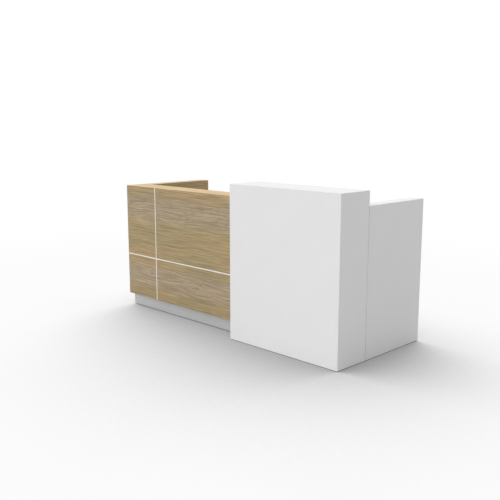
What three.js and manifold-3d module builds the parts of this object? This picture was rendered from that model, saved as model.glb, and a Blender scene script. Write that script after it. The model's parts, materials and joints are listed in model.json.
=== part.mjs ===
// Reception desk: a timber counter and a raised white tower in front, a boxed gable behind each end,
// and a worktop with two drawers on the staff side.
// Millimetres, +Z up. The visitor stands on the -Y side, and left and right are as that visitor sees them.
// The origin is on the floor, at the middle of the desk's plan.
import * as THREE from "three";
import { mergeVertices } from "three/addons/utils/BufferGeometryUtils.js";
import Module from "manifold-3d";

// Overall sizes
const WIDTH = 2400;
const DEPTH = 950;
const TOWER_WIDTH = 1000;
const TOWER_DEPTH = 300;
const TOWER_HEIGHT = 1150;
const COUNTER_HEIGHT = 1050;
const COUNTER_SETBACK = 100;
const GABLE_THICKNESS = 100;
const WORKTOP_HEIGHT = 740;

// Boards, and the gaps left between pieces
const BOARD = 18;
const BACKING_BOARD = 12;
const JOINT_GAP = 0.3;
const UNIT_SEAM = 2;
const FLOOR_GAP = 4;

// Plinth under the timber units
const PLINTH_HEIGHT = 100;
const PLINTH_SETBACK = 30;
const PLINTH_BOARD = 16;

// White inlay strips in the timber front
const INLAY_WIDTH = 10;
const INLAY_RECESS = 1;
const INLAY_FROM_LEFT = 390;
const INLAY_HEIGHT = 455;

// Shelves of the tower, open to the staff side
const DIVIDER_RECESS = 10;
const SHELF_RECESS = 20;
const SHELF_HEIGHT = 944;

// Worktop and what carries it
const WORKTOP_THICKNESS = 25;
const WORKTOP_REAR_SETBACK = 20;
const CLEAT_WIDTH = 25;
const CLEAT_HEIGHT = 40;
const CLEAT_REAR_SETBACK = 25;
const ANGLE_LEG = 40;
const ANGLE_THICKNESS = 4;
const ANGLE_END_GAP = 5;
const ANGLE_FROM_REAR = 85;

// Cable grommet in the worktop
const GROMMET = { x: -640, fromBack: 80, bore: 27, tube: 30.5, seat: 33, flange: 37.5, drop: 30 };
const GROMMET_FLANGE_THICKNESS = 5;
const GROMMET_SEAT_DEPTH = 3;
const GROMMET_CLEARANCE = 0.4;
const CABLE_NOTCH_WIDTH = 28;
const CABLE_NOTCH_DEPTH = 20;

// Drawer unit between its side panel and the right gable
const DRAWER_BAY_WIDTH = 410;
const DRAWER_BAY_RECESS = 15;
const DRAWER_BASE_HEIGHT = 80;
const DRAWER_FRONT_GAP = 2;
const FINGER_GAP = 20;
const DRAWERS = [
  { name: "upper", frontHeight: 190, boxHeight: 120, hasLock: true },
  { name: "lower", frontHeight: 384, boxHeight: 300, hasLock: false },
];
const DRAWER_BOX_DEPTH = 480;
const DRAWER_BOX_LIFT = 20;
const DRAWER_WALL = 12;
const DRAWER_BOTTOM = 8;
const RUNNER_WIDTH = 12;
const RUNNER_HEIGHT = 36;
const RUNNER_WALL = 2;
const RUNNER_LENGTH = 450;
const RUNNER_FROM_BOX_BASE = 45;
const RUNNER_SIDE_GAP = 1;
const RAIL_DEPTH = 9;
const RAIL_CLEARANCE = 0.5;

// Cam lock in the upper drawer front
const LOCK = { fromRight: 45, fromTop: 40, barrel: 8, hole: 8.4, flange: 10.5, length: 26 };
const LOCK_FLANGE_THICKNESS = 1.5;
const KEYWAY = { width: 2.4, height: 8, depth: 6 };

// Levelling feet
const STUD_RADIUS = 4;
const STUD_HOLE_RADIUS = 4.4;
const STUD_LENGTH = 26;
const FOOT_INSET = 50;
const FOOT_RADIUS = 14;
const LEG_INSET = 60;
const LEG_RADIUS = 15;
const LEG_SHAFT_RADIUS = 11;
const LEG_PAD_HEIGHT = 6;
const LEG_FLANGE_HEIGHT = 10;

// Facets and tolerance of the round pieces
const ROUND_SEGMENTS = 32;
const MERGE_TOLERANCE = 1e-3;

// Planes that the units share
const LEFT = -WIDTH / 2;
const RIGHT = WIDTH / 2;
const FRONT = -DEPTH / 2;
const REAR = DEPTH / 2;
const UNITS_BACK = FRONT + TOWER_DEPTH;
const COUNTER_FRONT = FRONT + COUNTER_SETBACK;
const TOWER_LEFT = RIGHT - TOWER_WIDTH;
const GABLE_FRONT = UNITS_BACK + UNIT_SEAM;
const LEFT_GABLE_INSIDE = LEFT + GABLE_THICKNESS;
const RIGHT_GABLE_INSIDE = RIGHT - GABLE_THICKNESS;
const WORKTOP_UNDERSIDE = WORKTOP_HEIGHT - WORKTOP_THICKNESS;
const DRAWER_BAY_LEFT = RIGHT_GABLE_INSIDE - DRAWER_BAY_WIDTH;
const DRAWER_FACE = REAR - WORKTOP_REAR_SETBACK - DRAWER_BAY_RECESS;
const DRAWER_BOX_REAR = DRAWER_FACE - BOARD;
const DRAWER_BOX_FRONT = DRAWER_BOX_REAR - DRAWER_BOX_DEPTH;
const RUNNER_Y = [DRAWER_BOX_FRONT + DRAWER_WALL, DRAWER_BOX_FRONT + DRAWER_WALL + RUNNER_LENGTH];
const PLINTH_FRONT = COUNTER_FRONT + PLINTH_SETBACK;
const PLINTH_LEFT = LEFT + PLINTH_SETBACK;
const PLINTH_REAR = REAR - PLINTH_SETBACK;

// Where the feet stand: tall legs under the timber units, low glides under the rest
const REAR_LEG_X = (PLINTH_LEFT + PLINTH_BOARD + LEFT_GABLE_INSIDE - BOARD) / 2;
const COUNTER_LEGS = [
  { name: "plinth_leg_left", x: PLINTH_LEFT + LEG_INSET, y: PLINTH_FRONT + LEG_INSET },
  { name: "plinth_leg_right", x: TOWER_LEFT - LEG_INSET, y: PLINTH_FRONT + LEG_INSET },
];
const LEFT_GABLE_LEG = { name: "plinth_leg_rear", x: REAR_LEG_X, y: PLINTH_REAR - LEG_INSET };
const TOWER_FEET = [
  { name: "tower_foot_front_left", x: TOWER_LEFT + FOOT_INSET, y: FRONT + FOOT_INSET },
  { name: "tower_foot_front_right", x: RIGHT - FOOT_INSET, y: FRONT + FOOT_INSET },
  { name: "tower_foot_rear_left", x: TOWER_LEFT + FOOT_INSET, y: UNITS_BACK - FOOT_INSET },
  { name: "tower_foot_rear_right", x: RIGHT - FOOT_INSET, y: UNITS_BACK - FOOT_INSET },
];
const RIGHT_GABLE_FOOT = { name: "right_gable_foot", x: RIGHT - FOOT_INSET, y: REAR - FOOT_INSET };
const DRAWER_UNIT_FOOT = {
  name: "drawer_unit_foot",
  x: DRAWER_BAY_LEFT - BOARD / 2,
  y: DRAWER_FACE - FOOT_INSET,
};

// Finishes, by name
const FINISHES = {
  oak: { color: 0xc4aa82, roughness: 0.6, metalness: 0 },
  white: { color: 0xeeeeec, roughness: 0.45, metalness: 0 },
  inlay: { color: 0xf4f0ea, roughness: 0.4, metalness: 0 },
  silver: { color: 0xb4b7b9, roughness: 0.38, metalness: 0.9 },
  steel: { color: 0x8e9194, roughness: 0.4, metalness: 0.9 },
  raw_board: { color: 0xb59a74, roughness: 0.8, metalness: 0 },
  drawer_grey: { color: 0xc9cbcc, roughness: 0.5, metalness: 0 },
  black_plastic: { color: 0x1f2022, roughness: 0.5, metalness: 0 },
  nickel: { color: 0xc3c1bc, roughness: 0.25, metalness: 1 },
};

const AXES = "xyz";
const wasm = await Module();
wasm.setup();

function piece(name, finish, geometry) {
  const mesh = new THREE.Mesh(geometry, new THREE.MeshStandardMaterial(FINISHES[finish]));
  mesh.name = name;
  return mesh;
}

function span(a, b) {
  return [Math.min(a, b), Math.max(a, b)];
}

function middle([low, high]) {
  return (low + high) / 2;
}

// A board that fills its x, y and z spans, less half a joint gap on every side.
function board(name, finish, spans) {
  const sizes = spans.map(([low, high]) => high - low - JOINT_GAP);
  const mesh = piece(name, finish, new THREE.BoxGeometry(...sizes));
  mesh.position.set(...spans.map(middle));
  return mesh;
}

// A board whose named edges are bevelled at 45 degrees, so that it meets its neighbour in a mitre.
// The show face and the edges are signed axes, such as "-y": the show face keeps its full size.
function mitredBoard(name, finish, spans, showFace, edges) {
  const mesh = board(name, finish, spans);
  const position = mesh.geometry.getAttribute("position");
  const sideOf = (corner, direction) => {
    const along = position.getComponent(corner, AXES.indexOf(direction[1]));
    return Math.sign(along) === Number(direction[0] + "1");
  };
  const [low, high] = spans[AXES.indexOf(showFace[1])];
  const thickness = high - low - JOINT_GAP;
  for (let corner = 0; corner < position.count; corner += 1) {
    const setIn = sideOf(corner, showFace) ? JOINT_GAP / 2 : JOINT_GAP / 2 + thickness;
    for (const edge of edges.filter((direction) => sideOf(corner, direction))) {
      const axis = AXES.indexOf(edge[1]);
      const along = position.getComponent(corner, axis);
      position.setComponent(corner, axis, along - Math.sign(along) * setIn);
    }
  }
  mesh.geometry.computeVertexNormals();
  return mesh;
}

function solidOf(geometry) {
  const bare = new THREE.BufferGeometry();
  bare.setAttribute("position", geometry.getAttribute("position"));
  bare.setIndex(geometry.index);
  const merged = mergeVertices(bare, MERGE_TOLERANCE);
  return new wasm.Manifold(
    new wasm.Mesh({
      numProp: 3,
      vertProperties: merged.getAttribute("position").array,
      triVerts: Uint32Array.from(merged.index.array),
    }),
  );
}

function geometryOf(solid) {
  const { vertProperties, triVerts } = solid.getMesh();
  const geometry = new THREE.BufferGeometry();
  geometry.setAttribute("position", new THREE.BufferAttribute(vertProperties, 3));
  geometry.setIndex(new THREE.BufferAttribute(triVerts, 1));
  geometry.computeVertexNormals();
  return geometry;
}

// Adds tools to a mesh, or subtracts them from it.
// The tools are placed in the desk's frame, and the mesh isn't turned.
function reshaped(mesh, operation, tools) {
  const { x, y, z } = mesh.position;
  const solid = tools.reduce(
    (rest, tool) => rest[operation](solidOf(tool.translate(-x, -y, -z))),
    solidOf(mesh.geometry),
  );
  mesh.geometry = geometryOf(solid);
  return mesh;
}

function block(spans) {
  const sizes = spans.map(([low, high]) => high - low);
  return new THREE.BoxGeometry(...sizes).translate(...spans.map(middle));
}

function uprightCylinder({ x, y }, radius, [bottom, top]) {
  const cylinder = new THREE.CylinderGeometry(radius, radius, top - bottom, ROUND_SEGMENTS);
  return cylinder.rotateX(Math.PI / 2).translate(x, y, middle([bottom, top]));
}

// Drills upright stud holes from a height upwards.
function drilled(mesh, feet, bottom) {
  const through = [bottom - FLOOR_GAP, bottom + STUD_LENGTH + STUD_RADIUS];
  const holes = feet.map((place) => uprightCylinder(place, STUD_HOLE_RADIUS, through));
  return reshaped(mesh, "subtract", holes);
}

// A solid turned about the upright axis, from a profile of radius and height.
function turned(profile) {
  const points = profile.map(([radius, height]) => new THREE.Vector2(radius, height));
  return new THREE.LatheGeometry(points, ROUND_SEGMENTS).rotateX(Math.PI / 2);
}

function outline(points) {
  return new THREE.Shape(points.map(([across, up]) => new THREE.Vector2(across, up)));
}

function extruded(shape, length) {
  const settings = { depth: length, bevelEnabled: false, curveSegments: ROUND_SEGMENTS };
  return new THREE.ExtrudeGeometry(shape, settings);
}

// Timber counter: clad front with inlays, end, top, rear lining and the hidden boards that stiffen it.
function counter() {
  const faceY = [COUNTER_FRONT, COUNTER_FRONT + BOARD];
  const inlayY = [COUNTER_FRONT + INLAY_RECESS, COUNTER_FRONT + BOARD];
  const inlayX = LEFT + INLAY_FROM_LEFT;
  const half = INLAY_WIDTH / 2;
  const leftX = [LEFT, inlayX - half];
  const rightX = [inlayX + half, TOWER_LEFT];
  const lowerZ = [PLINTH_HEIGHT, INLAY_HEIGHT - half];
  const upperZ = [INLAY_HEIGHT + half, COUNTER_HEIGHT];
  const stripX = [inlayX - half, inlayX + half];
  const stripZ = [INLAY_HEIGHT - half, INLAY_HEIGHT + half];
  const stripTop = COUNTER_HEIGHT - INLAY_RECESS;
  const insideX = [LEFT + BOARD, TOWER_LEFT];
  const fullDepth = [COUNTER_FRONT, UNITS_BACK];
  const liningY = [UNITS_BACK - BOARD, UNITS_BACK];
  const backingY = [COUNTER_FRONT + BOARD, COUNTER_FRONT + BOARD + BACKING_BOARD];
  const baseY = [COUNTER_FRONT + BOARD, UNITS_BACK - BOARD];
  const baseZ = [PLINTH_HEIGHT, PLINTH_HEIGHT + BOARD];
  const coreZ = [PLINTH_HEIGHT + BOARD, COUNTER_HEIGHT - BOARD];
  const topZ = [COUNTER_HEIGHT - BOARD, COUNTER_HEIGHT];
  const ribX = [middle(insideX) - BOARD / 2, middle(insideX) + BOARD / 2];
  const base = board("counter_base", "raw_board", [insideX, baseY, baseZ]);
  return new THREE.Group().add(
    mitredBoard("front_panel_upper_left", "oak", [leftX, faceY, upperZ], "-y", ["-x", "+z"]),
    mitredBoard("front_panel_upper_right", "oak", [rightX, faceY, upperZ], "-y", ["+z"]),
    mitredBoard("front_panel_lower_left", "oak", [leftX, faceY, lowerZ], "-y", ["-x"]),
    board("front_panel_lower_right", "oak", [rightX, faceY, lowerZ]),
    mitredBoard("inlay_strip_upright", "inlay", [stripX, inlayY, [PLINTH_HEIGHT, stripTop]], "-y", ["+z"]),
    mitredBoard("inlay_strip_left", "inlay", [[LEFT + INLAY_RECESS, leftX[1]], inlayY, stripZ], "-y", ["-x"]),
    board("inlay_strip_right", "inlay", [rightX, inlayY, stripZ]),
    mitredBoard("counter_top", "oak", [[LEFT, TOWER_LEFT], fullDepth, topZ], "+z", ["-x", "-y"]),
    mitredBoard(
      "counter_end_panel",
      "oak",
      [[LEFT, LEFT + BOARD], fullDepth, [PLINTH_HEIGHT, COUNTER_HEIGHT]],
      "-x",
      ["-y", "+z"],
    ),
    board("counter_rear_panel", "oak", [
      [LEFT_GABLE_INSIDE - BOARD, TOWER_LEFT],
      liningY,
      [FLOOR_GAP, COUNTER_HEIGHT - BOARD],
    ]),
    board("counter_backing_board", "raw_board", [insideX, backingY, coreZ]),
    board("counter_rib", "raw_board", [ribX, [backingY[1], liningY[0]], coreZ]),
    drilled(base, COUNTER_LEGS, PLINTH_HEIGHT),
  );
}

// Recessed plinth: a front board, and a side board folded round the rear end of the left gable.
function plinth() {
  const plinthZ = [FLOOR_GAP, PLINTH_HEIGHT];
  const sideFront = PLINTH_FRONT + PLINTH_BOARD + JOINT_GAP;
  const sideOutline = outline([
    [PLINTH_LEFT, sideFront],
    [PLINTH_LEFT + PLINTH_BOARD, sideFront],
    [PLINTH_LEFT + PLINTH_BOARD, PLINTH_REAR - PLINTH_BOARD],
    [LEFT_GABLE_INSIDE - BOARD - JOINT_GAP, PLINTH_REAR - PLINTH_BOARD],
    [LEFT_GABLE_INSIDE - BOARD - JOINT_GAP, PLINTH_REAR],
    [PLINTH_LEFT, PLINTH_REAR],
  ]);
  const side = piece("plinth_side", "silver", extruded(sideOutline, PLINTH_HEIGHT - FLOOR_GAP - JOINT_GAP));
  side.position.z = FLOOR_GAP;
  return new THREE.Group().add(
    board("plinth_front", "silver", [
      [PLINTH_LEFT, TOWER_LEFT],
      [PLINTH_FRONT, PLINTH_FRONT + PLINTH_BOARD],
      plinthZ,
    ]),
    side,
  );
}

// A boxed gable: two skins, a top mitred to both, an edge board at the rear and a base.
// inward is +1 for the left gable and -1 for the right one, and outerFoot is the outer skin's lower edge.
function gable(side, finish, outerX, inward, outerFoot, feet) {
  const innerX = outerX + inward * GABLE_THICKNESS;
  const outerFace = inward > 0 ? "-x" : "+x";
  const innerFace = inward > 0 ? "+x" : "-x";
  const depth = [GABLE_FRONT, REAR];
  const betweenX = span(outerX + inward * BOARD, innerX - inward * BOARD);
  const topZ = [COUNTER_HEIGHT - BOARD, COUNTER_HEIGHT];
  const baseZ = [outerFoot, outerFoot + BOARD];
  const base = board(`${side}_gable_base`, "raw_board", [betweenX, [GABLE_FRONT, REAR - BOARD], baseZ]);
  return new THREE.Group().add(
    mitredBoard(
      `${side}_gable_outer`,
      finish,
      [span(outerX, outerX + inward * BOARD), depth, [outerFoot, COUNTER_HEIGHT]],
      outerFace,
      ["+z"],
    ),
    mitredBoard(
      `${side}_gable_inner`,
      finish,
      [span(innerX - inward * BOARD, innerX), depth, [FLOOR_GAP, COUNTER_HEIGHT]],
      innerFace,
      ["+z"],
    ),
    mitredBoard(`${side}_gable_top`, finish, [span(outerX, innerX), depth, topZ], "+z", ["-x", "+x"]),
    board(`${side}_gable_edge`, finish, [betweenX, [REAR - BOARD, REAR], [outerFoot, topZ[0]]]),
    drilled(base, feet, outerFoot),
  );
}

// White tower: a mitred shell, closed behind below the worktop and open to the staff side above it.
function tower() {
  const insideX = [TOWER_LEFT + BOARD, RIGHT - BOARD];
  const insideFront = FRONT + BOARD;
  const depth = [FRONT, UNITS_BACK];
  const height = [FLOOR_GAP, TOWER_HEIGHT];
  const baseZ = [FLOOR_GAP, FLOOR_GAP + BOARD];
  const deckZ = [WORKTOP_HEIGHT - BOARD, WORKTOP_HEIGHT];
  const nicheZ = [WORKTOP_HEIGHT, TOWER_HEIGHT - BOARD];
  const rearY = [UNITS_BACK - BOARD, UNITS_BACK];
  const centre = middle(insideX);
  const dividerX = [centre - BOARD / 2, centre + BOARD / 2];
  const base = board("tower_base", "white", [insideX, [insideFront, rearY[0]], baseZ]);
  return new THREE.Group().add(
    mitredBoard(
      "tower_front",
      "white",
      [[TOWER_LEFT, RIGHT], [FRONT, insideFront], height],
      "-y",
      ["-x", "+x", "+z"],
    ),
    mitredBoard(
      "tower_left_side",
      "white",
      [[TOWER_LEFT, insideX[0]], depth, height],
      "-x",
      ["-y", "+z"],
    ),
    mitredBoard("tower_right_side", "white", [[insideX[1], RIGHT], depth, height], "+x", ["-y", "+z"]),
    mitredBoard(
      "tower_top",
      "white",
      [[TOWER_LEFT, RIGHT], depth, [nicheZ[1], TOWER_HEIGHT]],
      "+z",
      ["-x", "+x", "-y"],
    ),
    board("tower_rear_panel", "white", [insideX, rearY, [FLOOR_GAP, deckZ[0]]]),
    board("tower_deck", "white", [insideX, [insideFront, UNITS_BACK], deckZ]),
    board("tower_divider", "white", [dividerX, [insideFront, UNITS_BACK - DIVIDER_RECESS], nicheZ]),
    board("tower_shelf", "white", [
      [insideX[0], dividerX[0]],
      [insideFront, UNITS_BACK - SHELF_RECESS],
      [SHELF_HEIGHT - BOARD, SHELF_HEIGHT],
    ]),
    drilled(base, TOWER_FEET, FLOOR_GAP),
  );
}

// Worktop with its cleats, the steel angle under its free edge, and a cable grommet with a turning cap.
function worktop() {
  const rear = REAR - WORKTOP_REAR_SETBACK;
  const drawerSide = DRAWER_BAY_LEFT - BOARD;
  const cleatZ = [WORKTOP_UNDERSIDE - CLEAT_HEIGHT, WORKTOP_UNDERSIDE];
  const cleatInsideX = LEFT_GABLE_INSIDE + CLEAT_WIDTH;
  const hole = { x: GROMMET.x, y: UNITS_BACK + GROMMET.fromBack };
  const rebateBottom = WORKTOP_HEIGHT - GROMMET_FLANGE_THICKNESS;
  const holeRadius = GROMMET.tube + GROMMET_CLEARANCE;
  const rebateRadius = GROMMET.flange + GROMMET_CLEARANCE;
  const top = board("worktop", "white", [
    [LEFT_GABLE_INSIDE, RIGHT_GABLE_INSIDE],
    [UNITS_BACK, rear],
    [WORKTOP_UNDERSIDE, WORKTOP_HEIGHT],
  ]);
  reshaped(top, "subtract", [
    uprightCylinder(hole, holeRadius, [WORKTOP_UNDERSIDE - BOARD, WORKTOP_HEIGHT + BOARD]),
    uprightCylinder(hole, rebateRadius, [rebateBottom, WORKTOP_HEIGHT + BOARD]),
  ]);
  const angleOutline = outline([
    [0, 0],
    [-ANGLE_LEG, 0],
    [-ANGLE_LEG, -ANGLE_THICKNESS],
    [-ANGLE_THICKNESS, -ANGLE_THICKNESS],
    [-ANGLE_THICKNESS, -ANGLE_LEG],
    [0, -ANGLE_LEG],
  ]);
  const angleX = [cleatInsideX + ANGLE_END_GAP, drawerSide - ANGLE_END_GAP];
  const angle = piece("worktop_angle", "steel", extruded(angleOutline, angleX[1] - angleX[0]));
  angle.rotation.set(Math.PI / 2, 0, Math.PI / 2, "ZYX");
  angle.position.set(angleX[0], rear - ANGLE_FROM_REAR, WORKTOP_UNDERSIDE - JOINT_GAP);
  return new THREE.Group().add(
    top,
    board("worktop_cleat_left", "white", [
      [LEFT_GABLE_INSIDE, cleatInsideX],
      [UNITS_BACK + CLEAT_WIDTH, rear - CLEAT_REAR_SETBACK],
      cleatZ,
    ]),
    board("worktop_cleat_front", "white", [
      [LEFT_GABLE_INSIDE, drawerSide],
      [UNITS_BACK, UNITS_BACK + CLEAT_WIDTH],
      cleatZ,
    ]),
    angle,
    grommetSleeve(hole),
    grommetCap(hole),
  );
}

function grommetSleeve({ x, y }) {
  const flangeBottom = -GROMMET_FLANGE_THICKNESS + JOINT_GAP;
  const bottom = flangeBottom - GROMMET.drop;
  const sleeve = turned([
    [GROMMET.bore, bottom],
    [GROMMET.tube, bottom],
    [GROMMET.tube, flangeBottom],
    [GROMMET.flange, flangeBottom],
    [GROMMET.flange, 0],
    [GROMMET.seat, 0],
    [GROMMET.seat, -GROMMET_SEAT_DEPTH],
    [GROMMET.bore, -GROMMET_SEAT_DEPTH],
    [GROMMET.bore, bottom],
  ]);
  const mesh = piece("grommet_sleeve", "black_plastic", sleeve);
  mesh.position.set(x, y, WORKTOP_HEIGHT - JOINT_GAP);
  return mesh;
}

// The cap is a disc with a notch for cables, which faces the counter at rest.
function grommetCap({ x, y }) {
  const radius = GROMMET.seat - GROMMET_CLEARANCE;
  const halfNotch = CABLE_NOTCH_WIDTH / 2;
  const notchAngle = Math.asin(halfNotch / radius);
  const disc = new THREE.Shape();
  disc.absarc(0, 0, radius, notchAngle - Math.PI / 2, 1.5 * Math.PI - notchAngle, false);
  disc.lineTo(-halfNotch, CABLE_NOTCH_DEPTH - radius);
  disc.lineTo(halfNotch, CABLE_NOTCH_DEPTH - radius);
  disc.closePath();
  const mesh = piece("grommet_cap", "black_plastic", extruded(disc, GROMMET_SEAT_DEPTH - JOINT_GAP));
  mesh.position.set(x, y, WORKTOP_HEIGHT - GROMMET_SEAT_DEPTH);
  return mesh;
}

// Drawer unit: side panel, base, and the two drawers stacked from the worktop down.
function drawerUnit() {
  const baseZ = [DRAWER_BASE_HEIGHT, DRAWER_BASE_HEIGHT + BOARD];
  const depth = [UNITS_BACK, DRAWER_FACE];
  const bayX = [DRAWER_BAY_LEFT, RIGHT_GABLE_INSIDE];
  const sidePanel = board("drawer_unit_side", "white", [
    [DRAWER_BAY_LEFT - BOARD, DRAWER_BAY_LEFT],
    depth,
    [FLOOR_GAP, WORKTOP_UNDERSIDE],
  ]);
  const unit = new THREE.Group().add(
    drilled(sidePanel, [DRAWER_UNIT_FOOT], FLOOR_GAP),
    board("drawer_unit_base", "white", [bayX, [GABLE_FRONT, DRAWER_BOX_REAR], baseZ]),
  );
  let frontTop = WORKTOP_UNDERSIDE - FINGER_GAP;
  for (const drawer of DRAWERS) {
    const frontZ = [frontTop - drawer.frontHeight, frontTop];
    unit.add(...drawerPieces(drawer, frontZ));
    frontTop = frontZ[0] - FINGER_GAP;
  }
  return unit;
}

function drawerPieces({ name, boxHeight, hasLock }, frontZ) {
  const frontX = [DRAWER_BAY_LEFT + DRAWER_FRONT_GAP, RIGHT_GABLE_INSIDE - DRAWER_FRONT_GAP];
  const front = board(`${name}_drawer_front`, "white", [frontX, [DRAWER_BOX_REAR, DRAWER_FACE], frontZ]);
  const boxBottom = frontZ[0] + DRAWER_BOX_LIFT;
  const runnerZ = boxBottom + RUNNER_FROM_BOX_BASE;
  const pieces = [
    front,
    drawerBox(`${name}_drawer_box`, [boxBottom, boxBottom + boxHeight], runnerZ),
    runner(`${name}_runner_left`, DRAWER_BAY_LEFT, 1, runnerZ),
    runner(`${name}_runner_right`, RIGHT_GABLE_INSIDE, -1, runnerZ),
  ];
  if (hasLock) {
    const lockX = frontX[1] - LOCK.fromRight;
    const lockZ = frontZ[1] - LOCK.fromTop;
    const hole = new THREE.CylinderGeometry(LOCK.hole, LOCK.hole, 2 * BOARD, ROUND_SEGMENTS);
    reshaped(front, "subtract", [hole.translate(lockX, front.position.y, lockZ)]);
    pieces.push(lockBarrel(lockX, lockZ));
  }
  return pieces;
}

// An open tray with a rail along each side, which runs in the bay's channels.
function drawerBox(name, boxZ, runnerZ) {
  const inset = RUNNER_WIDTH + RUNNER_SIDE_GAP;
  const boxX = [DRAWER_BAY_LEFT + inset, RIGHT_GABLE_INSIDE - inset];
  const boxY = [DRAWER_BOX_FRONT, DRAWER_BOX_REAR];
  const halfRail = RUNNER_HEIGHT / 2 - RUNNER_WALL - RAIL_CLEARANCE;
  const railZ = [runnerZ - halfRail, runnerZ + halfRail];
  const tray = board(name, "drawer_grey", [boxX, boxY, boxZ]);
  reshaped(tray, "add", [
    block([[boxX[0] - RAIL_DEPTH, boxX[0] + DRAWER_WALL], RUNNER_Y, railZ]),
    block([[boxX[1] - DRAWER_WALL, boxX[1] + RAIL_DEPTH], RUNNER_Y, railZ]),
  ]);
  return reshaped(tray, "subtract", [
    block([
      [boxX[0] + DRAWER_WALL, boxX[1] - DRAWER_WALL],
      [boxY[0] + DRAWER_WALL, boxY[1] - DRAWER_WALL],
      [boxZ[0] + DRAWER_BOTTOM, boxZ[1] + DRAWER_WALL],
    ]),
  ]);
}

// A channel fixed to the bay's wall, open towards the drawer.
function runner(name, wallX, inward, height) {
  const half = RUNNER_HEIGHT / 2;
  const inside = half - RUNNER_WALL;
  const near = inward * JOINT_GAP;
  const far = inward * RUNNER_WIDTH;
  const web = inward * (RUNNER_WALL + JOINT_GAP);
  const channel = outline([
    [near, -half],
    [far, -half],
    [far, -inside],
    [web, -inside],
    [web, inside],
    [far, inside],
    [far, half],
    [near, half],
  ]);
  const mesh = piece(name, "steel", extruded(channel, RUNNER_LENGTH));
  mesh.rotation.x = Math.PI / 2;
  mesh.position.set(wallX, RUNNER_Y[1], height);
  return mesh;
}

// Lock barrel with a flange on the drawer's face and a keyway cut into its end.
function lockBarrel(x, z) {
  const barrel = turned([
    [0, -LOCK.length],
    [LOCK.barrel, -LOCK.length],
    [LOCK.barrel, JOINT_GAP],
    [LOCK.flange, JOINT_GAP],
    [LOCK.flange, LOCK_FLANGE_THICKNESS],
    [0, LOCK_FLANGE_THICKNESS],
  ]).rotateX(-Math.PI / 2);
  const mesh = piece("drawer_lock", "nickel", barrel);
  const keyway = block([
    [-KEYWAY.width / 2, KEYWAY.width / 2],
    [LOCK_FLANGE_THICKNESS - KEYWAY.depth, LOCK_FLANGE_THICKNESS + KEYWAY.depth],
    [-KEYWAY.height / 2, KEYWAY.height / 2],
  ]);
  reshaped(mesh, "subtract", [keyway]);
  mesh.position.set(x, DRAWER_FACE, z);
  return mesh;
}

// A low glide: a pad on a threaded stud, screwed fully home.
function foot({ name, x, y }) {
  const padTop = FLOOR_GAP - JOINT_GAP;
  const glide = turned([
    [0, 0],
    [FOOT_RADIUS, 0],
    [FOOT_RADIUS, padTop],
    [STUD_RADIUS, padTop],
    [STUD_RADIUS, FLOOR_GAP + STUD_LENGTH],
    [0, FLOOR_GAP + STUD_LENGTH],
  ]);
  const mesh = piece(name, "black_plastic", glide);
  mesh.position.set(x, y, 0);
  return mesh;
}

// A tall leg behind the plinth: pad, shaft and top flange on the same stud.
function leg({ name, x, y }) {
  const top = PLINTH_HEIGHT - JOINT_GAP;
  const shape = turned([
    [0, 0],
    [LEG_RADIUS, 0],
    [LEG_RADIUS, LEG_PAD_HEIGHT],
    [LEG_SHAFT_RADIUS, LEG_PAD_HEIGHT],
    [LEG_SHAFT_RADIUS, top - LEG_FLANGE_HEIGHT],
    [LEG_RADIUS, top - LEG_FLANGE_HEIGHT],
    [LEG_RADIUS, top],
    [STUD_RADIUS, top],
    [STUD_RADIUS, top + STUD_LENGTH],
    [0, top + STUD_LENGTH],
  ]);
  const mesh = piece(name, "black_plastic", shape);
  mesh.position.set(x, y, 0);
  return mesh;
}

const desk = new THREE.Group();
desk.name = "reception_desk";
desk.add(
  counter(),
  plinth(),
  gable("left", "oak", LEFT, 1, PLINTH_HEIGHT, [LEFT_GABLE_LEG]),
  gable("right", "white", RIGHT, -1, FLOOR_GAP, [RIGHT_GABLE_FOOT]),
  tower(),
  worktop(),
  drawerUnit(),
  ...[...COUNTER_LEGS, LEFT_GABLE_LEG].map(leg),
  ...[...TOWER_FEET, RIGHT_GABLE_FOOT, DRAWER_UNIT_FOOT].map(foot),
);

export default desk;
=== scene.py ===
import json
import math

import bmesh
import bpy
from mathutils import Matrix, Vector


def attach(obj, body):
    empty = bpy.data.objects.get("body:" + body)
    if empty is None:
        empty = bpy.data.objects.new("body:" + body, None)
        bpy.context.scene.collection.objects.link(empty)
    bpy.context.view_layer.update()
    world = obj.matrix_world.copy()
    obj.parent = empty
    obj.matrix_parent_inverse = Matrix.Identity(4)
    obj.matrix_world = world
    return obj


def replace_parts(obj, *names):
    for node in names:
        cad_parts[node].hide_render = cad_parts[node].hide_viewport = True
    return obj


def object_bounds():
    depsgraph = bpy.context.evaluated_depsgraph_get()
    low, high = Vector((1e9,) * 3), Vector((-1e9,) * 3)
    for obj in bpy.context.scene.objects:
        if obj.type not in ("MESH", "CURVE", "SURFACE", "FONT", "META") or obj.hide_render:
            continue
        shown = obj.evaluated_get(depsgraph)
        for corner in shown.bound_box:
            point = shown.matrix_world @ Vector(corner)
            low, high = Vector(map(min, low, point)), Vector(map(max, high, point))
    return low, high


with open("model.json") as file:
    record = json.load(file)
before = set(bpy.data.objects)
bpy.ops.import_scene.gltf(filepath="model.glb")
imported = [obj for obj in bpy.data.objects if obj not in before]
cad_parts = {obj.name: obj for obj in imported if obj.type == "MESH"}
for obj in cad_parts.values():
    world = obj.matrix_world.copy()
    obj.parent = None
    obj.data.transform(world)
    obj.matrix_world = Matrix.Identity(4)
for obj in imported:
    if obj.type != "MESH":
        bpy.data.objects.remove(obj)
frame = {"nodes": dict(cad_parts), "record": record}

# Looks of the reception desk, in metres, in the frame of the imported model.
# The visitor stands on the -Y side and the staff on the +Y side.
cad_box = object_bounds()
record = frame["record"]
BODY_OF = {node: body for body, nodes in record["behaviour"]["bodies"].items() for node in nodes}
SLOT_OF = {part["node"]: part["material_slot"] for part in record["subparts"]}

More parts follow.
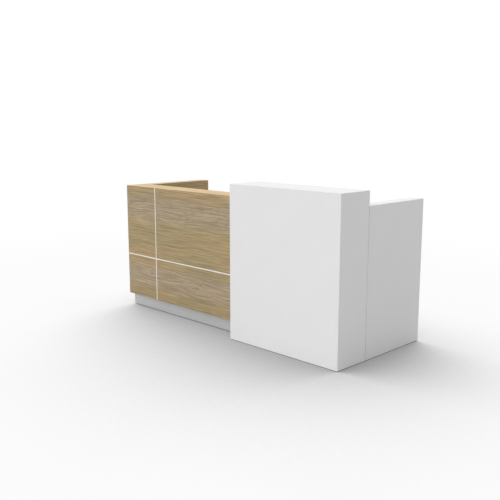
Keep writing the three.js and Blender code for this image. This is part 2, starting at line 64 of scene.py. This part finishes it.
# Camera of the photograph
CAMERA_PLACE = (3.859, -3.921, 1.576)
CAMERA_TURN_DEG = (79.795, 0.0, 45.057)
CAMERA_LENS_MM = 50.72
SENSOR_MM = 36.0

# Sky: its level at the horizon, and how it leans towards the left, the front and above
SKY_LEVEL = 0.42
SKY_LEAN = (-0.60, -0.20, 0.92)
PLAIN_WHITE = (1.0, 1.0, 1.0, 1.0)

# Floor: the colour that lights the desk from below, and the white it shows near the desk
FLOOR_SIZE = 60.0
FLOOR_COLOUR = (0.80, 0.80, 0.805, 1.0)
FLOOR_WHITE = 0.974
FLOOR_SPECKS = 350.0

# Distances from the desk between which the floor turns to plain white
FADE_START = 1.5
FADE_END = 5.0

# Shadow on the floor: the lean of its light, and the share of open sky that counts as unshaded
SHADOW_LEAN = Vector((-0.56, 0.29, 1.0)).normalized()
SHADOW_REACH = 6.0
SHADOW_SAMPLES = 16
OPEN_ENOUGH = 0.914

# Edge roundings of the finished pieces, by slot
BOARD_ROUND = 0.0008
TRIM_ROUND = 0.0004
FINE_ROUND = 0.00025
ROUND_STEPS = 2
ROUNDING = {
    "oak": BOARD_ROUND,
    "white_board": BOARD_ROUND,
    "plinth": TRIM_ROUND,
    "drawer_box": BOARD_ROUND,
    "inlay": FINE_ROUND,
    "steel": TRIM_ROUND,
    "black_plastic": TRIM_ROUND,
    "nickel": FINE_ROUND,
}

# Mesh limits: corners and levels that are one, faces that are flat, and edges that are smooth or square
WELD = 0.00001
LEVEL_GAP = 0.0001
FLAT_ANGLE = math.radians(0.5)
SMOOTH_ANGLE = math.radians(20)
SQUARE_ANGLES = (math.radians(80), math.radians(100))

# Small fittings, whose profiles are pairs of a share of the radius and a share of the height
SCREW_RADIUS = 0.0045
SCREW_HEIGHT = 0.0022
SCREW_PROFILE = ((0, 0), (1, 0), (1, 0.40), (0.88, 0.78), (0.64, 1), (0.46, 1), (0.40, 0.35), (0, 0.25))
CAP_RADIUS = 0.0085
CAP_HEIGHT = 0.0012
CAP_PROFILE = ((0, 0), (1, 0), (0.96, 0.6), (0.86, 1), (0.70, 1), (0.62, 0.7), (0, 0.7))
PIN_RADIUS = 0.0025
PIN_LENGTH = 0.012
PIN_PROFILE = ((0, 0), (1.5, 0), (1.5, 0.12), (1, 0.18), (1, 0.92), (0.8, 1), (0, 1))
FITTING_SEGMENTS = 24

# Where the small fittings sit
CAP_FROM_CORNER = 0.034
PIN_FROM_EDGE = 0.037
FRONT_SCREW_FROM_EDGE = 0.035
FRONT_SCREWS_ACROSS = 2
ANGLE_SCREWS = 8
FRONT_CLEAT_SCREWS = 6
LEFT_CLEAT_SCREWS = 3

# Oak veneer: leaf width, and where the figured heart of a leaf lies across the grain
LEAF_WIDTH = 0.58
FRONT_HEART = -0.0554
SIDE_HEART = FRONT_HEART + LEAF_WIDTH / 2

# How far the oak's grain lines wander, in metres, and the turn of its rings, in radians
SWAY_WIDTH = 0.050
RIPPLE_WIDTH = 0.009
RING_TURN_PER_METRE = 210.0
RING_TURN_OF_SWAY = 30.0

# Oak figure, in repeats per metre along and across the grain
OAK_REPEATS = {
    "sway": (1.3, 3.0),
    "ripple": (8.0, 18.0),
    "bands": (0.5, 9.0),
    "warmth": (0.8, 5.5),
    "streaks": (2.6, 58.0),
    "lines": (2.6, 140.0),
    "fibres": (9.0, 420.0),
    "dashes": (11.0, 95.0),
    "pores": (45.0, 1100.0),
}

# Values between which each kind of oak figure comes in
OAK_RANGES = {
    "bands": (0.30, 0.70),
    "warmth": (0.40, 0.62),
    "streaks": (0.36, 0.62),
    "lines": (0.38, 0.60),
    "fibres": (0.32, 0.66),
    "dashes": (0.60, 0.74),
    "pores": (0.60, 0.72),
    "heart": (0.10, 0.95),
    "rings": (0.0, 1.0),
}

# How much of the oak's line colour each kind of figure brings in
OAK_DARKENING = {
    "bands": 0.16,
    "streaks": 0.17,
    "lines": 0.56,
    "rings": 0.24,
    "fibres": 0.34,
    "pores": 0.35,
}
DASHES_PLAIN = 0.15
DASHES_OF_HEART = 0.50
MAUVE_OF_HEART = 0.75
OAK_ROUGHNESS = (0.62, 0.52)
OAK_RELIEF_MM = 0.06
FIBRE_RELIEF = 0.5

# Fine detail of the other finishes, in repeats per metre, and its share of their colour
FACE_GRAIN = 900.0
MOULDED_GRAIN = 1600.0
GRAIN_SHARE = 0.35
BOARD_CHIPS = 260.0
BOARD_DUST = 1400.0
DUST_SHARE = 0.4

# Values between which most of a soft noise lies, for colour and for gloss
COLOUR_RANGE = (0.35, 0.65)
GLOSS_RANGE = (0.3, 0.7)

# Colours, linear
OAK = {
    "olive": (0.555, 0.435, 0.222, 1.0),
    "tan": (0.650, 0.455, 0.235, 1.0),
    "mauve": (0.650, 0.520, 0.385, 1.0),
    "line": (0.220, 0.170, 0.098, 1.0),
}
# Oak for the counter top and the gable top: a paler copy, painted light standing in for light from above
OAK_TOP_PAINTED_LIGHT = {
    "olive": (0.78, 0.575, 0.310, 1.0),
    "tan": (0.84, 0.610, 0.335, 1.0),
    "mauve": (0.80, 0.605, 0.365, 1.0),
    "line": (0.57, 0.415, 0.220, 1.0),
}
WHITE = ((0.855, 0.856, 0.858, 1.0), (0.865, 0.866, 0.868, 1.0))
INLAY = ((0.90, 0.875, 0.83, 1.0), (0.93, 0.91, 0.875, 1.0))
PLINTH = ((0.54, 0.547, 0.552, 1.0), (0.63, 0.637, 0.642, 1.0))
# Raw board colour: the hidden boards' own, and on the seam edges also painted shade
RAW_BOARD = ((0.30, 0.21, 0.12, 1.0), (0.62, 0.48, 0.31, 1.0))
DRAWER_FOIL = ((0.55, 0.56, 0.565, 1.0), (0.63, 0.64, 0.645, 1.0))
ZINC = ((0.56, 0.57, 0.58, 1.0), (0.63, 0.64, 0.65, 1.0))
BLACK = ((0.016, 0.016, 0.018, 1.0), (0.030, 0.030, 0.032, 1.0))
NICKEL = ((0.61, 0.595, 0.57, 1.0), (0.65, 0.635, 0.61, 1.0))

# Oak pieces whose look is not the front's, which has its grain along X; the two tops carry painted top
# light
GRAIN = {
    "counter_top": "ledge_painted_light_x",
    "left_gable_top": "ledge_painted_light_y",
    "counter_end_panel": "oak_y",
    "left_gable_outer": "oak_y",
    "left_gable_inner": "oak_y",
    "left_gable_edge": "oak_z",
}

# Board edges without lipping, which face a seam; their dark raw board is also painted shade deepening the
# seam
SEAM_SHADE_RAW_EDGES = {"right_gable_outer": Vector((0, -1, 0)), "right_gable_inner": Vector((0, -1, 0))}


class Nodes:
    """A node tree, with short calls to add and join nodes."""

    def __init__(self, tree):
        self.tree = tree

    def add(self, kind, inputs=None, **settings):
        node = self.tree.nodes.new(kind)
        for name, value in settings.items():
            setattr(node, name, value)
        for name, value in (inputs or {}).items():
            self.feed(node.inputs[name], value)
        return node

    def feed(self, socket, value):
        if isinstance(value, bpy.types.NodeSocket):
            self.tree.links.new(value, socket)
        else:
            socket.default_value = value

    def math(self, operation, first, second=0.0, third=0.0, clamp=False):
        inputs = {0: first, 1: second, 2: third}
        return self.add("ShaderNodeMath", inputs, operation=operation, use_clamp=clamp).outputs["Value"]

    def vector(self, operation, first, second=(0.0, 0.0, 0.0), output="Vector"):
        node = self.add("ShaderNodeVectorMath", {0: first, 1: second}, operation=operation)
        return node.outputs[output]

    def seen_directly(self):
        """A socket that is 1 for rays from the camera, from gloss and through glass, and 0 for light."""
        path = self.add("ShaderNodeLightPath")
        seen = path.outputs["Is Camera Ray"]
        for name in ("Is Glossy Ray", "Is Transmission Ray"):
            seen = self.math("MAXIMUM", seen, path.outputs[name])
        return seen


class Shader(Nodes):
    """A material with its node tree."""

    def __init__(self, name):
        self.material = bpy.data.materials.new(name)
        self.material.use_nodes = True
        super().__init__(self.material.node_tree)
        self.surface = self.tree.nodes["Principled BSDF"]
        self.place = self.add("ShaderNodeTexCoord").outputs["Object"]

    def noise(self, place, scale=1.0, detail=2.0, roughness=0.5):
        inputs = {"Vector": place, "Scale": scale, "Detail": detail, "Roughness": roughness}
        return self.add("ShaderNodeTexNoise", inputs).outputs["Fac"]

    def spread(self, value, low, high, to_low=0.0, to_high=1.0):
        """A value between low and high, eased to run from to_low to to_high."""
        inputs = {"Value": value, "From Min": low, "From Max": high, "To Min": to_low, "To Max": to_high}
        node = self.add("ShaderNodeMapRange", inputs, interpolation_type="SMOOTHSTEP")
        return node.outputs["Result"]

    def blend(self, share, first, second):
        """A mix of two colours, by the share of the second. Sockets 6, 7 and 2 of the node are colours."""
        inputs = {"Factor": share, 6: first, 7: second}
        return self.add("ShaderNodeMix", inputs, data_type="RGBA").outputs[2]

    def finish(self, colour, roughness, height, height_mm, **constants):
        """Joins colour, roughness and height to the surface. The constants are sockets of the surface."""
        relief = {"Height": height, "Distance": height_mm / 1000, "Strength": 1.0}
        bump = self.add("ShaderNodeBump", relief)
        self.feed(self.surface.inputs["Base Color"], colour)
        self.feed(self.surface.inputs["Roughness"], roughness)
        self.feed(self.surface.inputs["Normal"], bump.outputs["Normal"])
        for name, value in constants.items():
            self.surface.inputs[name.replace("_", " ")].default_value = value
        return self.material


def oak(name, grain_axis, tones, heart_at=FRONT_HEART):
    """Oak veneer. The grain runs along one axis, and the figure wraps over the edges between faces."""
    shader = Shader(name)
    split = shader.add("ShaderNodeSeparateXYZ", {"Vector": shader.place})
    along = split.outputs[grain_axis]
    across = shader.math("ADD", *[split.outputs[axis] for axis in "XYZ" if axis != grain_axis])
    flat = shader.add("ShaderNodeCombineXYZ", {"X": along, "Y": across}).outputs["Vector"]

    def figure(kind, place, detail=2.0, roughness=0.5):
        """Noise with the repeats of one kind of figure."""
        stretched = shader.vector("MULTIPLY", place, (*OAK_REPEATS[kind], 1.0))
        return shader.noise(stretched, detail=detail, roughness=roughness)

    def darkening(kind, value):
        """The share of the line colour, which is full where the noise is low."""
        return shader.spread(value, *OAK_RANGES[kind], OAK_DARKENING[kind], 0.0)

    sway = figure("sway", flat)
    drift = shader.math("MULTIPLY_ADD", sway, SWAY_WIDTH, across)
    drift = shader.math("MULTIPLY_ADD", figure("ripple", flat), RIPPLE_WIDTH, drift)
    grain = shader.add("ShaderNodeCombineXYZ", {"X": along, "Y": drift}).outputs["Vector"]
    streaks = figure("streaks", grain, roughness=0.6)
    fibres = figure("fibres", grain)
    open_pores = shader.spread(figure("pores", grain, detail=1.0), *OAK_RANGES["pores"])

    # The figured heart of the veneer comes back once per leaf
    from_heart = shader.math("SUBTRACT", drift, heart_at)
    heart = shader.math("COSINE", shader.math("MULTIPLY", from_heart, 2 * math.pi / LEAF_WIDTH))
    heart = shader.spread(heart, *OAK_RANGES["heart"])
    turn = shader.math("MULTIPLY", drift, RING_TURN_PER_METRE)
    rings = shader.math("SINE", shader.math("MULTIPLY_ADD", sway, RING_TURN_OF_SWAY, turn))
    rings = shader.math("MULTIPLY", shader.spread(rings, *OAK_RANGES["rings"]), heart)

    # The ground colour, and the kinds of figure that darken it, in the order in which they are laid on
    warmth = shader.spread(figure("warmth", grain, detail=1.0), *OAK_RANGES["warmth"])
    colour = shader.blend(warmth, tones["olive"], tones["tan"])
    colour = shader.blend(shader.math("MULTIPLY", heart, MAUVE_OF_HEART), colour, tones["mauve"])
    dashes = shader.spread(figure("dashes", grain, detail=1.0), *OAK_RANGES["dashes"])
    dash_share = shader.math("MULTIPLY_ADD", heart, DASHES_OF_HEART, DASHES_PLAIN)
    shares = (
        darkening("bands", figure("bands", grain)),
        darkening("streaks", streaks),
        darkening("lines", figure("lines", grain)),
        shader.math("MULTIPLY", rings, OAK_DARKENING["rings"]),
        shader.math("MULTIPLY", dashes, dash_share),
        darkening("fibres", fibres),
        shader.math("MULTIPLY", open_pores, OAK_DARKENING["pores"]),
    )
    for share in shares:
        colour = shader.blend(share, colour, tones["line"])

    rough = shader.spread(streaks, *GLOSS_RANGE, *OAK_ROUGHNESS)
    height = shader.math("SUBTRACT", shader.math("MULTIPLY", fibres, FIBRE_RELIEF), open_pores)
    return shader.finish(colour, rough, height, OAK_RELIEF_MM, Specular_IOR_Level=0.25)


def mottled(name, colours, repeats, roughness, height_mm, fine=FACE_GRAIN, **constants):
    """A finish whose colour and gloss drift softly over the surface, with a fine grain in its face."""
    shader = Shader(name)
    cloud = shader.noise(shader.vector("MULTIPLY", shader.place, repeats), detail=3.0)
    grain = shader.noise(shader.place, scale=fine)
    soft = shader.math("MULTIPLY", cloud, 1 - GRAIN_SHARE)
    tone = shader.math("MULTIPLY_ADD", grain, GRAIN_SHARE, soft)
    colour = shader.blend(shader.spread(tone, *COLOUR_RANGE), *colours)
    rough = shader.spread(cloud, *GLOSS_RANGE, *roughness)
    return shader.finish(colour, rough, grain, height_mm, **constants)


def particle_board(name, colours):
    """Raw board: pressed chips in several browns, with a rough face."""
    shader = Shader(name)
    chips = shader.add("ShaderNodeTexVoronoi", {"Vector": shader.place, "Scale": BOARD_CHIPS})
    chip_tone = shader.add("ShaderNodeSeparateColor", {"Color": chips.outputs["Color"]}).outputs["Red"]
    dust = shader.noise(shader.place, scale=BOARD_DUST)
    coarse = shader.math("MULTIPLY", chip_tone, 1 - DUST_SHARE)
    tone = shader.math("MULTIPLY_ADD", dust, DUST_SHARE, coarse)
    colour = shader.blend(tone, *colours)
    rough = shader.spread(dust, *GLOSS_RANGE, to_low=0.75, to_high=0.90)
    return shader.finish(colour, rough, tone, height_mm=0.15, Specular_IOR_Level=0.2)


materials = {
    "oak_x": oak("oak_along_x", "X", OAK),
    "oak_y": oak("oak_along_y", "Y", OAK, SIDE_HEART),
    "oak_z": oak("oak_along_z", "Z", OAK),
    # Painted light: the tops' oak is a paler copy, as if lit from above
    "ledge_painted_light_x": oak("oak_ledge_painted_light_along_x", "X", OAK_TOP_PAINTED_LIGHT),
    "ledge_painted_light_y": oak("oak_ledge_painted_light_along_y", "Y", OAK_TOP_PAINTED_LIGHT),
    "white_board": mottled(
        "white_melamine",
        WHITE,
        repeats=(6, 6, 6),
        roughness=(0.40, 0.48),
        height_mm=0.01,
        Specular_IOR_Level=0.35,
    ),
    "inlay": mottled(
        "white_strip",
        INLAY,
        repeats=(8, 8, 8),
        roughness=(0.32, 0.40),
        height_mm=0.008,
    ),
    "plinth": mottled(
        "silver_kickboard",
        PLINTH,
        repeats=(3, 3, 260),
        roughness=(0.50, 0.60),
        height_mm=0.015,
        Metallic=0.15,
    ),
    "steel": mottled(
        "zinc_steel",
        ZINC,
        repeats=(25, 60, 60),
        roughness=(0.34, 0.42),
        height_mm=0.004,
        Metallic=1.0,
    ),
    "drawer_box": mottled(
        "grey_foil",
        DRAWER_FOIL,
        repeats=(2, 60, 60),
        roughness=(0.45, 0.55),
        height_mm=0.02,
    ),
    "black_plastic": mottled(
        "black_moulding",
        BLACK,
        repeats=(40, 40, 40),
        roughness=(0.45, 0.60),
        height_mm=0.03,
        fine=MOULDED_GRAIN,
    ),
    "nickel": mottled(
        "nickel_plate",
        NICKEL,
        repeats=(40, 40, 40),
        roughness=(0.20, 0.25),
        height_mm=0.001,
        Metallic=1.0,
    ),
    # Raw board for the hidden boards, also laid on the seam edges as painted shade
    "raw_board": particle_board("particle_board", RAW_BOARD),
}


def material_of(node):
    slot = SLOT_OF[node]
    if slot == "oak":
        return materials[GRAIN.get(node, "oak_x")]
    return materials[slot]


def add_piece(name, shape, material, body):
    """Turns a bmesh shape, which is already in place, into a piece that rides on a body."""
    mesh = bpy.data.meshes.new(name)
    shape.to_mesh(mesh)
    shape.free()
    mesh.materials.append(material)
    mesh.shade_smooth()
    mesh.set_sharp_from_angle(angle=SMOOTH_ANGLE)
    piece = bpy.data.objects.new(name, mesh)
    bpy.context.scene.collection.objects.link(piece)
    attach(piece, body)
    return piece


def is_square(edge):
    """Whether an edge is an outside corner of about 90 degrees. Mitred edges are sharper or blunter."""
    if len(edge.link_faces) != 2 or not edge.is_convex:
        return False
    return SQUARE_ANGLES[0] < edge.calc_face_angle() < SQUARE_ANGLES[1]


def finished(node, width):
    """A copy of a CAD node with its square edges rounded, which stands for the node."""
    shape = bmesh.new()
    shape.from_mesh(frame["nodes"][node].data)
    bmesh.ops.remove_doubles(shape, verts=shape.verts, dist=WELD)
    bmesh.ops.dissolve_limit(shape, angle_limit=FLAT_ANGLE, verts=shape.verts, edges=shape.edges)
    bmesh.ops.bevel(
        shape,
        geom=[edge for edge in shape.edges if is_square(edge)],
        offset=width,
        offset_type="OFFSET",
        segments=ROUND_STEPS,
        profile=0.5,
        affect="EDGES",
        clamp_overlap=True,
    )
    piece = add_piece(f"{node}_finish", shape, material_of(node), BODY_OF[node])
    # Raw board on the edges facing the seam: partly the unlipped edge, partly painted shade that darkens
    # the seam
    if node in SEAM_SHADE_RAW_EDGES:
        piece.data.materials.append(materials["raw_board"])
        for face in piece.data.polygons:
            face.material_index = int(face.normal.dot(SEAM_SHADE_RAW_EDGES[node]) > math.cos(FLAT_ANGLE))
    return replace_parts(piece, node)


def boards_and_fittings():
    """A finished piece for every board and fitting. Raw boards lie out of sight and keep their shape."""
    for node, cad in frame["nodes"].items():
        if SLOT_OF[node] in ROUNDING:
            finished(node, ROUNDING[SLOT_OF[node]])
        else:
            cad.data.materials.clear()
            cad.data.materials.append(material_of(node))


def turned(profile, radius, height, place, towards):
    """A turned shape with the shares of a profile, which stands at a place and points one way."""
    shape = bmesh.new()
    rings = []
    for out, up in profile:
        steps = FITTING_SEGMENTS if out else 1
        turns = [2 * math.pi * step / FITTING_SEGMENTS for step in range(steps)]
        reach, level = out * radius, up * height
        corners = [(reach * math.cos(turn), reach * math.sin(turn), level) for turn in turns]
        rings.append([shape.verts.new(corner) for corner in corners])
    for lower, upper in zip(rings, rings[1:]):
        for step in range(FITTING_SEGMENTS):
            corners = [lower[step % len(lower)], lower[(step + 1) % len(lower)]]
            corners += [upper[(step + 1) % len(upper)], upper[step % len(upper)]]
            shape.faces.new(dict.fromkeys(corners))
    turn = Vector((0, 0, 1)).rotation_difference(Vector(towards)).to_matrix().to_4x4()
    bmesh.ops.transform(shape, matrix=Matrix.Translation(place) @ turn, verts=shape.verts)
    return shape


def screw(name, place, towards, body="desk"):
    """Pan head with a round socket in its crown."""
    shape = turned(SCREW_PROFILE, SCREW_RADIUS, SCREW_HEIGHT, place, towards)
    add_piece(name, shape, materials["steel"], body)


def cover_cap(name, place, towards):
    """Thin dished cap over a joint fitting."""
    shape = turned(CAP_PROFILE, CAP_RADIUS, CAP_HEIGHT, place, towards)
    add_piece(name, shape, materials["white_board"], "desk")


def shelf_pin(name, place, towards):
    """Pin with a collar against the board it is plugged into."""
    shape = turned(PIN_PROFILE, PIN_RADIUS, PIN_LENGTH, place, towards)
    add_piece(name, shape, materials["nickel"], "desk")


def levels(node, axis):
    """The places of a node's corners on one axis, in order."""
    places = sorted(corner.co["xyz".index(axis)] for corner in frame["nodes"][node].data.vertices)
    return [place for place, before in zip(places, [-math.inf] + places) if place - before > LEVEL_GAP]


def evenly(low, high, count):
    """Middles of equal lengths between two places."""
    return [low + (high - low) * (step + 0.5) / count for step in range(count)]


def worktop_screws():
    """Screws through the steel angle and the two cleats."""
    angle_x, angle_y = levels("worktop_angle", "x"), levels("worktop_angle", "y")
    leg_y = (angle_y[0] + angle_y[-2]) / 2
    under_leg = levels("worktop_angle", "z")[-2]
    for number, x in enumerate(evenly(angle_x[0], angle_x[-1], ANGLE_SCREWS), 1):
        screw(f"angle_screw_{number}", (x, leg_y, under_leg), (0, 0, -1))

    front_x = levels("worktop_cleat_front", "x")
    front_y = levels("worktop_cleat_front", "y")[-1]
    front_z = sum(levels("worktop_cleat_front", "z")) / 2
    for number, x in enumerate(evenly(front_x[0], front_x[-1], FRONT_CLEAT_SCREWS), 1):
        screw(f"front_cleat_screw_{number}", (x, front_y, front_z), (0, 1, 0))

    left_x = levels("worktop_cleat_left", "x")[-1]
    left_y = levels("worktop_cleat_left", "y")
    left_z = sum(levels("worktop_cleat_left", "z")) / 2
    for number, y in enumerate(evenly(left_y[0], left_y[-1], LEFT_CLEAT_SCREWS), 1):
        screw(f"left_cleat_screw_{number}", (left_x, y, left_z), (1, 0, 0))


def niche_fittings():
    """Cover caps on the uprights of the tower's niche, and four pins under its shelf."""
    divider_x, divider_y, divider_z = (levels("tower_divider", axis) for axis in "xyz")
    faces = {
        "left_side": (levels("tower_left_side", "x")[-1], 1),
        "divider_left": (divider_x[0], -1),
        "divider_right": (divider_x[-1], 1),
        "right_side": (levels("tower_right_side", "x")[0], -1),
    }
    depths = {"front": divider_y[0] + CAP_FROM_CORNER, "rear": divider_y[-1] - CAP_FROM_CORNER}
    heights = {"low": divider_z[0] + CAP_FROM_CORNER, "high": divider_z[-1] - CAP_FROM_CORNER}
    for face, (x, way) in faces.items():
        for depth, y in depths.items():
            for height, z in heights.items():
                cover_cap(f"cap_{face}_{depth}_{height}", (x, y, z), (way, 0, 0))

    shelf_y = levels("tower_shelf", "y")
    pin_z = levels("tower_shelf", "z")[0] - PIN_RADIUS
    pin_depths = {"front": shelf_y[0] + PIN_FROM_EDGE, "rear": shelf_y[-1] - PIN_FROM_EDGE}
    for face in ("left_side", "divider_left"):
        x, way = faces[face]
        for depth, y in pin_depths.items():
            shelf_pin(f"shelf_pin_{face}_{depth}", (x, y, pin_z), (way, 0, 0))


def drawer_front_screws():
    """Four screws inside each drawer box, which hold its front."""
    for drawer in ("upper_drawer", "lower_drawer"):
        box_x, box_z = levels(f"{drawer}_box", "x"), levels(f"{drawer}_box", "z")
        inside_y = levels(f"{drawer}_box", "y")[-2]
        rows = {"low": box_z[0] + FRONT_SCREW_FROM_EDGE, "high": box_z[-1] - FRONT_SCREW_FROM_EDGE}
        for row, z in rows.items():
            for number, x in enumerate(evenly(box_x[0], box_x[-1], FRONT_SCREWS_ACROSS), 1):
                screw(f"{drawer}_screw_{row}_{number}", (x, inside_y, z), (0, -1, 0), drawer)


def floor_material():
    """Pale floor that turns to a white backdrop away from the desk.

    What is seen of it is white less the desk's shadow: the share of the leaning sky that the desk hides.
    The part of that sky which lies below the floor counts as open, so it is taken off first.
    """
    shader = Shader("floor")
    half_size = [(cad_box[1][axis] - cad_box[0][axis]) / 2 for axis in range(2)]
    past_desk = shader.vector("SUBTRACT", shader.vector("ABSOLUTE", shader.place), (*half_size, 0.0))
    away = shader.vector("LENGTH", shader.vector("MAXIMUM", past_desk), output="Value")
    white = shader.spread(away, FADE_START, FADE_END, FLOOR_WHITE, 1.0)

    lean = shader.add("ShaderNodeCombineXYZ", dict(zip("XYZ", SHADOW_LEAN))).outputs["Vector"]
    inputs = {"Distance": SHADOW_REACH, "Normal": lean}
    open_sky = shader.add("ShaderNodeAmbientOcclusion", inputs, samples=SHADOW_SAMPLES).outputs["AO"]
    above_floor = (1.0 + SHADOW_LEAN.z) / 2
    seen_sky = shader.math("SUBTRACT", open_sky, 1.0 - above_floor)
    light = shader.math("DIVIDE", seen_sky, above_floor * OPEN_ENOUGH, clamp=True)

    specks = shader.noise(shader.place, scale=FLOOR_SPECKS)
    rough = shader.spread(specks, *GLOSS_RANGE, to_low=0.85, to_high=0.95)
    shader.finish(FLOOR_COLOUR, rough, specks, height_mm=0.02, Specular_IOR_Level=0.0)
    strength = shader.math("MULTIPLY", light, white)
    backdrop = shader.add("ShaderNodeEmission", {"Color": PLAIN_WHITE, "Strength": strength})
    sides = {0: shader.seen_directly(), 1: shader.surface.outputs["BSDF"], 2: backdrop.outputs["Emission"]}
    mixed = shader.add("ShaderNodeMixShader", sides)
    shader.feed(shader.tree.nodes["Material Output"].inputs["Surface"], mixed.outputs["Shader"])
    return shader.material


def studio_floor():
    """Plain floor under the desk."""
    shape = bmesh.new()
    bmesh.ops.create_grid(shape, x_segments=1, y_segments=1, size=FLOOR_SIZE / 2)
    mesh = bpy.data.meshes.new("floor")
    shape.to_mesh(mesh)
    shape.free()
    mesh.materials.append(floor_material())
    floor = bpy.data.objects.new("floor", mesh)
    bpy.context.scene.collection.objects.link(floor)


def studio_sky():
    """Soft light from all round, stronger from the left, the front and above. It looks plain white."""
    world = bpy.data.worlds.new("studio")
    world.use_nodes = True
    world.node_tree.nodes.clear()
    bpy.context.scene.world = world
    nodes = Nodes(world.node_tree)
    towards = nodes.add("ShaderNodeTexCoord").outputs["Generated"]
    lean = nodes.vector("DOT_PRODUCT", towards, SKY_LEAN, output="Value")
    level = nodes.math("MAXIMUM", nodes.math("ADD", lean, SKY_LEVEL), 0.0)
    light = nodes.add("ShaderNodeBackground", {"Color": PLAIN_WHITE, "Strength": level})
    white = nodes.add("ShaderNodeBackground", {"Color": PLAIN_WHITE})
    sides = {0: nodes.seen_directly(), 1: light.outputs["Background"], 2: white.outputs["Background"]}
    mixed = nodes.add("ShaderNodeMixShader", sides)
    nodes.add("ShaderNodeOutputWorld", {"Surface": mixed.outputs["Shader"]})


def studio_camera():
    """Camera at the photograph's place."""
    optics = bpy.data.cameras.new("camera")
    optics.lens = CAMERA_LENS_MM
    optics.sensor_width = SENSOR_MM
    camera = bpy.data.objects.new("camera", optics)
    camera.location = CAMERA_PLACE
    camera.rotation_euler = [math.radians(angle) for angle in CAMERA_TURN_DEG]
    bpy.context.scene.collection.objects.link(camera)
    bpy.context.scene.camera = camera
    bpy.context.scene.view_settings.view_transform = "Standard"


boards_and_fittings()
worktop_screws()
niche_fittings()
drawer_front_screws()
studio_floor()
studio_sky()
studio_camera()
